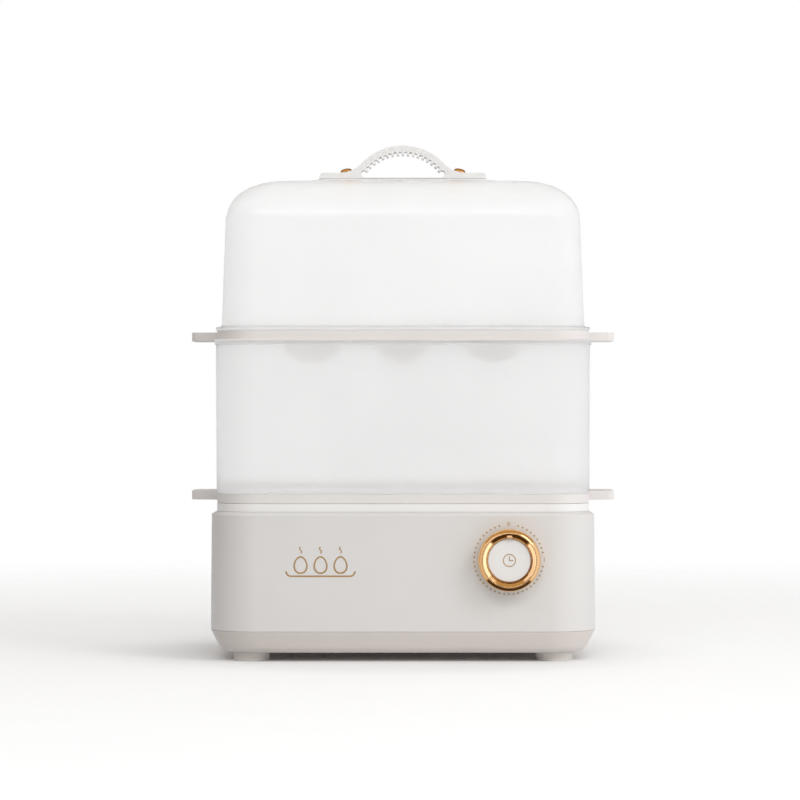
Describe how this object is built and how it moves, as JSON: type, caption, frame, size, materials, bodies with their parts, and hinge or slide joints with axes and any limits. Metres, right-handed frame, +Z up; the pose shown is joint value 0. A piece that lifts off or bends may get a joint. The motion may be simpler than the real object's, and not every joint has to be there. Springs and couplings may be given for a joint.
{
  "type": "egg cooker",
  "caption": "Free-standing rectangular steam egg cooker with stacked egg trays, a frosted tier and domed lid with strap handle, and a front timer knob.",
  "frame": {"origin": "middle of the footprint on the worktop, on the housing's centre planes", "axes": "+Z up through the stack, -Y out of the front panel that carries the knob, +X to the right seen from the front"},
  "size_m": [0.2304, 0.1776, 0.2778],
  "materials": {
    "housing_white": "satin moulded, warm white",
    "cover_grey": "satin moulded, warm light grey",
    "collar_white": "semi-gloss white",
    "steel": "brushed stainless",
    "silicone": "matt silicone",
    "element_black": "oxidised heater sheath",
    "fuse_white": "matt thermoset",
    "foot_rubber": "matt elastomer, pale grey",
    "wire_insulation": "silicone-glass sleeving",
    "gold": "polished gold plating",
    "tray_plastic": "satin moulded, warm light grey",
    "frosted_clear": "frosted translucent, fine satin surface",
    "handle_white": "satin moulded, warm white"
  },
  "bodies": {
    "base": {"base_housing": "housing_white", "bottom_cover": "cover_grey", "top_collar": "collar_white", "water_pan": "steel", "heater_plate": "steel", "thermostat": "steel", "timer_bell": "steel", "timer_screw_left": "steel", "timer_screw_right": "steel", "foot_screw_front_left": "steel", "foot_screw_front_right": "steel", "foot_screw_rear_left": "steel", "foot_screw_rear_right": "steel", "collar_screw_front_left": "steel", "collar_screw_front_right": "steel", "collar_screw_rear_left": "steel", "collar_screw_rear_right": "steel", "pan_seal": "silicone", "heating_element": "element_black", "thermal_fuse": "fuse_white", "terminal_block": "fuse_white", "timer_body": "fuse_white", "foot_front_left": "foot_rubber", "foot_front_right": "foot_rubber", "foot_rear_left": "foot_rubber", "foot_rear_right": "foot_rubber", "cord_gland": "foot_rubber", "wire_live": "wire_insulation", "wire_switched": "wire_insulation", "wire_neutral": "wire_insulation", "wire_heater": "wire_insulation"},
    "knob": {"timer_shaft": "steel", "knob_ring": "gold", "knob_disc": "housing_white"},
    "lower_tray": {"lower_tray": "tray_plastic"},
    "tier": {"tier_wall": "frosted_clear"},
    "upper_tray": {"upper_tray": "tray_plastic"},
    "lid": {"lid_shell": "frosted_clear", "handle_pad": "handle_white", "lid_handle": "handle_white", "handle_screw_left": "gold", "handle_screw_right": "gold", "handle_nut_left": "gold", "handle_nut_right": "gold"}
  },
  "joints": [
    {"name": "knob_turn", "type": "hinge", "parent": "base", "child": "knob", "pos_m": [0.0556, -0.085, 0.0543], "axis": [0, 1, 0], "range_deg": [0, 344]},
    {"name": "lower_tray_lift", "type": "slide", "parent": "base", "child": "lower_tray", "axis": [0, 0, 1], "range_m": [0, 0.03]},
    {"name": "tier_lift", "type": "slide", "parent": "lower_tray", "child": "tier", "axis": [0, 0, 1], "range_m": [0, 0.035]},
    {"name": "upper_tray_lift", "type": "slide", "parent": "tier", "child": "upper_tray", "axis": [0, 0, 1], "range_m": [0, 0.035]},
    {"name": "lid_lift", "type": "slide", "parent": "upper_tray", "child": "lid", "axis": [0, 0, 1], "range_m": [0, 0.06]}
  ]
}
